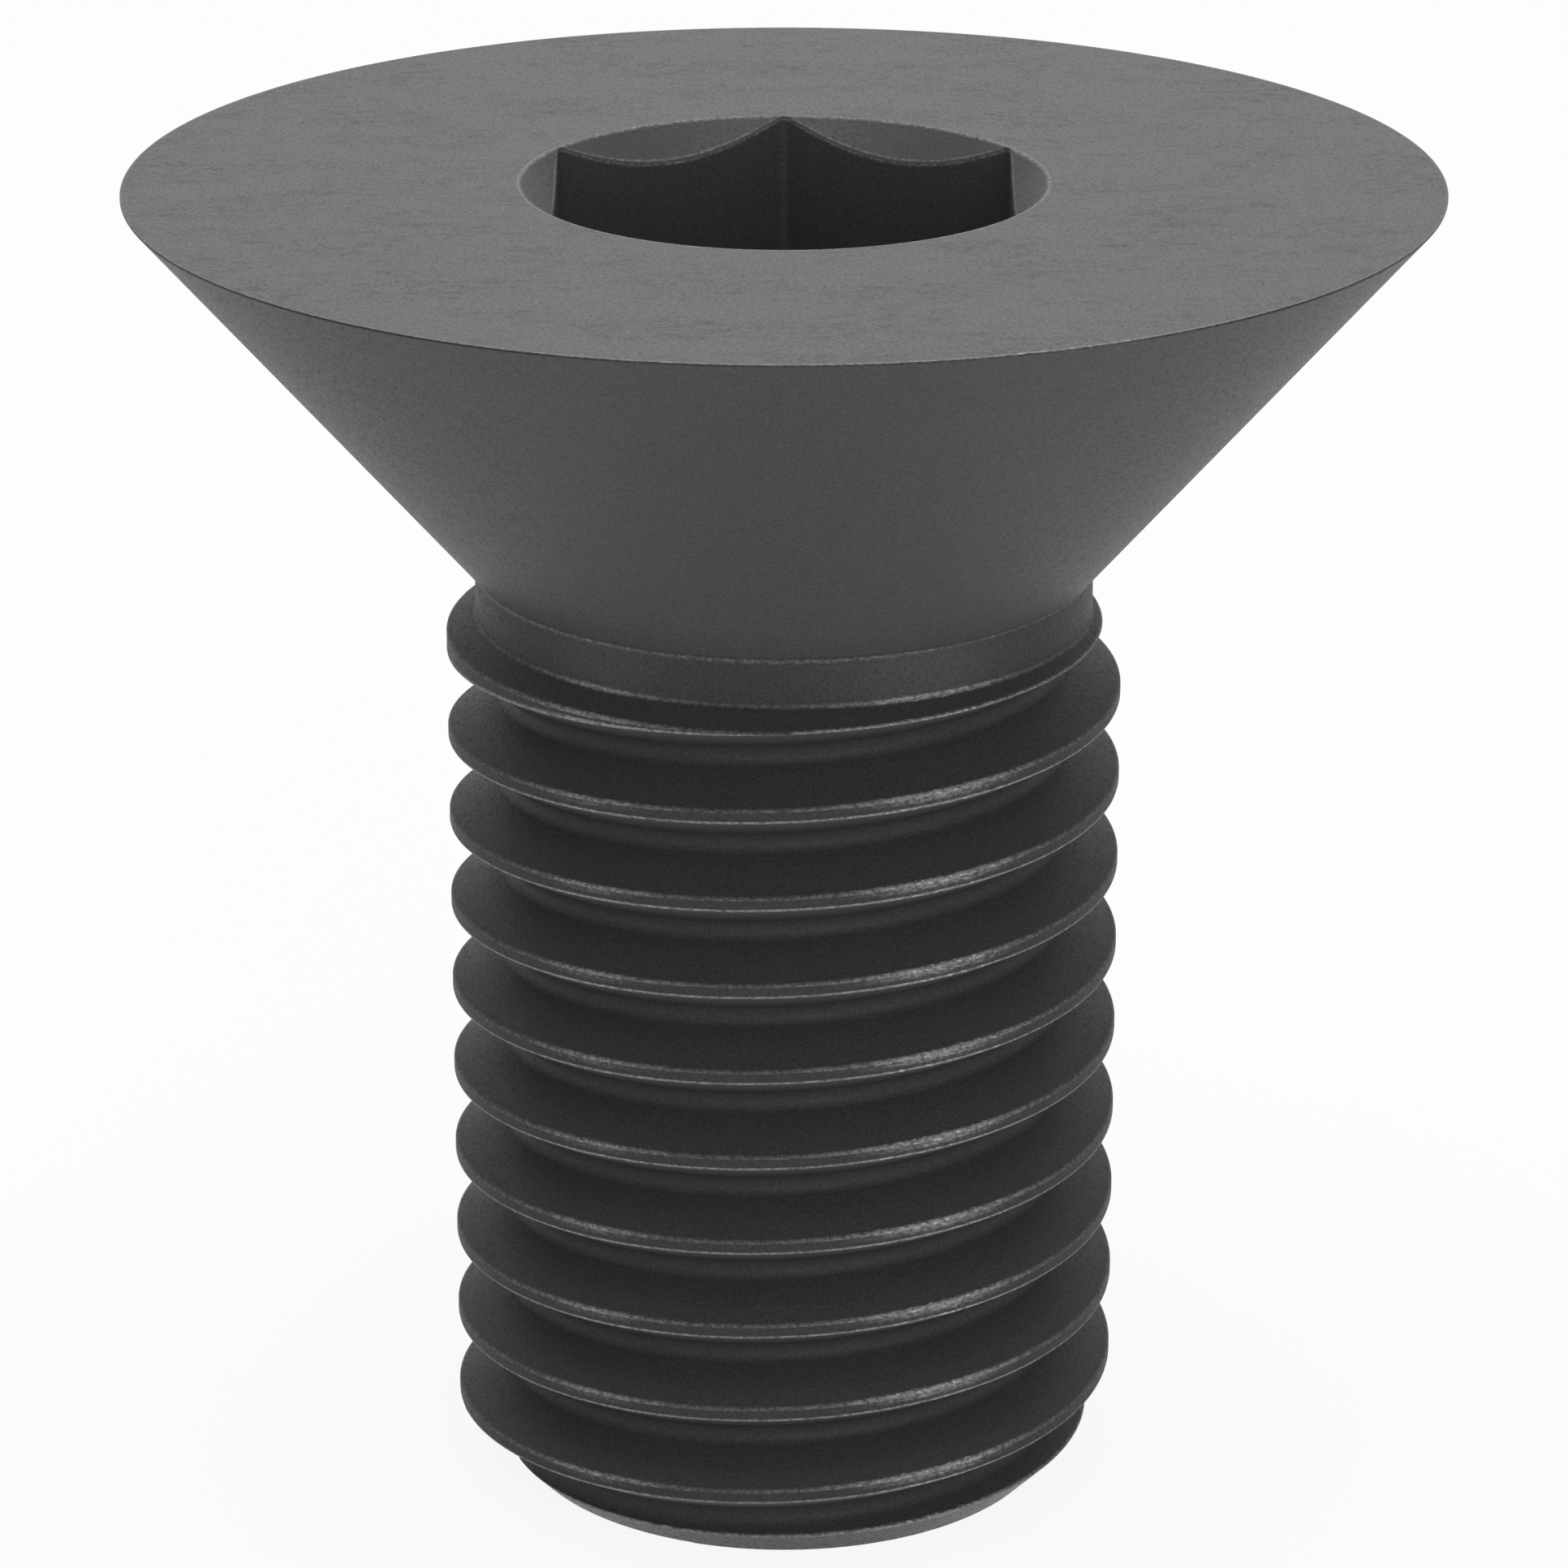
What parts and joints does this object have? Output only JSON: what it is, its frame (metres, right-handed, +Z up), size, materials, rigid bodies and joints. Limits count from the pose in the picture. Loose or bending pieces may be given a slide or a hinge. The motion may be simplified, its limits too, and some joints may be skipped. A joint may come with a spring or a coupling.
{
  "type": "countersunk socket screw",
  "caption": "Flat-head countersunk screw with a hexagon socket, a plain neck and a coarse right-hand thread, standing on its flat tip.",
  "frame": {"origin": "centre of the flat tip, on the plane the screw stands on", "axes": "+Z up along the screw's axis, from the tip to the head; -Y is the front, and a corner of the socket points to +Y"},
  "size_m": [0.0366, 0.0366, 0.0381],
  "materials": {
    "black_oxide_steel": "black oxide, worn bright along the thread crests and edges"
  },
  "bodies": {
    "root": {"screw": "black_oxide_steel"}
  },
  "joints": []
}
